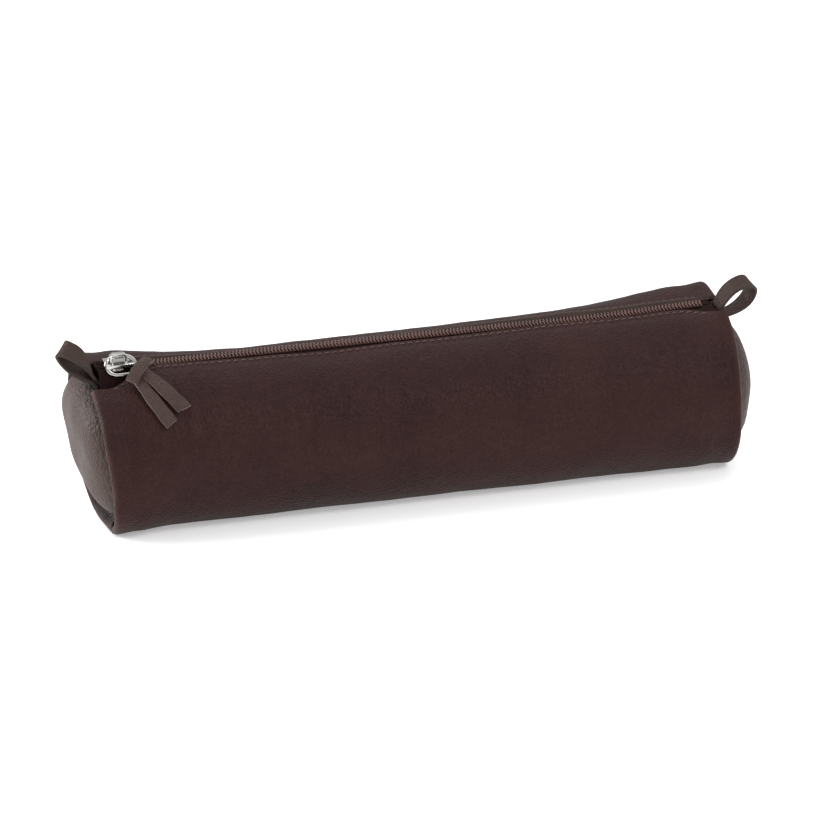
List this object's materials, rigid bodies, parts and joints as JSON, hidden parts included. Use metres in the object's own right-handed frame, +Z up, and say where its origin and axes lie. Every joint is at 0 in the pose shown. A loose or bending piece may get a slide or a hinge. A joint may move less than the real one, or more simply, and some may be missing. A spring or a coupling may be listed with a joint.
{
  "type": "zipped brush case",
  "caption": "Soft leather tube case for brushes with domed sewn-in ends, a coil zip along the top, a leather zip pull and a hanging loop at each end.",
  "frame": {"origin": "on the table, under the middle of the case, where its flat underside rests", "axes": "+X along the case towards the end where the zip opens to, -Y the front that the zip leans to, +Z up"},
  "size_m": [0.237, 0.058, 0.0702],
  "materials": {
    "case_leather": "soft semi-matt, fine grain",
    "panel_leather": "soft semi-matt, fine grain",
    "loop_leather": "matt with pale cut edges",
    "thong_leather": "grainy split leather, pale cut edges",
    "zip_tape": "woven",
    "zip_coil": "satin nylon",
    "plated_metal": "bright plated",
    "thread": "twisted polyester thread"
  },
  "bodies": {
    "root": {"body_wrap": "case_leather", "end_panel_left": "panel_leather", "end_panel_right": "panel_leather", "left_seam_stitches": "thread", "right_seam_stitches": "thread"},
    "front_mouth": {"front_lip": "case_leather", "front_zip_tape": "zip_tape", "front_coil": "zip_coil", "front_topstitch": "thread"},
    "back_mouth": {"back_lip": "case_leather", "back_zip_tape": "zip_tape", "back_coil": "zip_coil", "back_topstitch": "thread"},
    "slider": {"slider_body": "plated_metal"},
    "ring": {"pull_ring": "plated_metal"},
    "strap": {"pull_strap": "thong_leather"},
    "left_loop": {"loop_left": "loop_leather"},
    "right_loop": {"loop_right": "loop_leather"}
  },
  "joints": [
    {"name": "slider_travel", "type": "slide", "parent": "root", "child": "slider", "axis": [1, 0, 0], "range_m": [0, 0.18]},
    {"name": "front_lip_open", "type": "hinge", "parent": "root", "child": "front_mouth", "pos_m": [0, -0.029, 0.02722], "axis": [1, 0, 0], "range_deg": [0, 15], "deforming": ["front_zip_tape", "front_coil"]},
    {"name": "back_lip_open", "type": "hinge", "parent": "root", "child": "back_mouth", "pos_m": [0, 0.029, 0.02722], "axis": [1, 0, 0], "range_deg": [-15, 0], "deforming": ["back_zip_tape", "back_coil"]},
    {"name": "ring_lift", "type": "hinge", "parent": "slider", "child": "ring", "pos_m": [-0.0987, -0.00537, 0.05765], "axis": [0, 0.9848, 0.1736], "range_deg": [-75, 0]},
    {"name": "strap_swing", "type": "hinge", "parent": "ring", "child": "strap", "pos_m": [-0.089, -0.00537, 0.05765], "axis": [0, 0.9848, 0.1736], "range_deg": [-60, 0]},
    {"name": "left_loop_flop", "type": "hinge", "parent": "root", "child": "left_loop", "pos_m": [-0.1063, -0.00495, 0.05529], "axis": [0, 0.9848, 0.1736], "range_deg": [-30, 20], "stiffness_Nm_per_rad": 0.001},
    {"name": "right_loop_flop", "type": "hinge", "parent": "root", "child": "right_loop", "pos_m": [0.1063, -0.00495, 0.05529], "axis": [0, 0.9848, 0.1736], "range_deg": [-20, 30], "stiffness_Nm_per_rad": 0.001}
  ],
  "couplings": [
    {"joint": "front_lip_open", "follows": "slider_travel", "rad_per_m": 1.4544},
    {"joint": "back_lip_open", "follows": "slider_travel", "rad_per_m": -1.4544},
    {"joint": "ring_lift", "follows": "slider_travel", "rad_per_m": -7.2721}
  ]
}
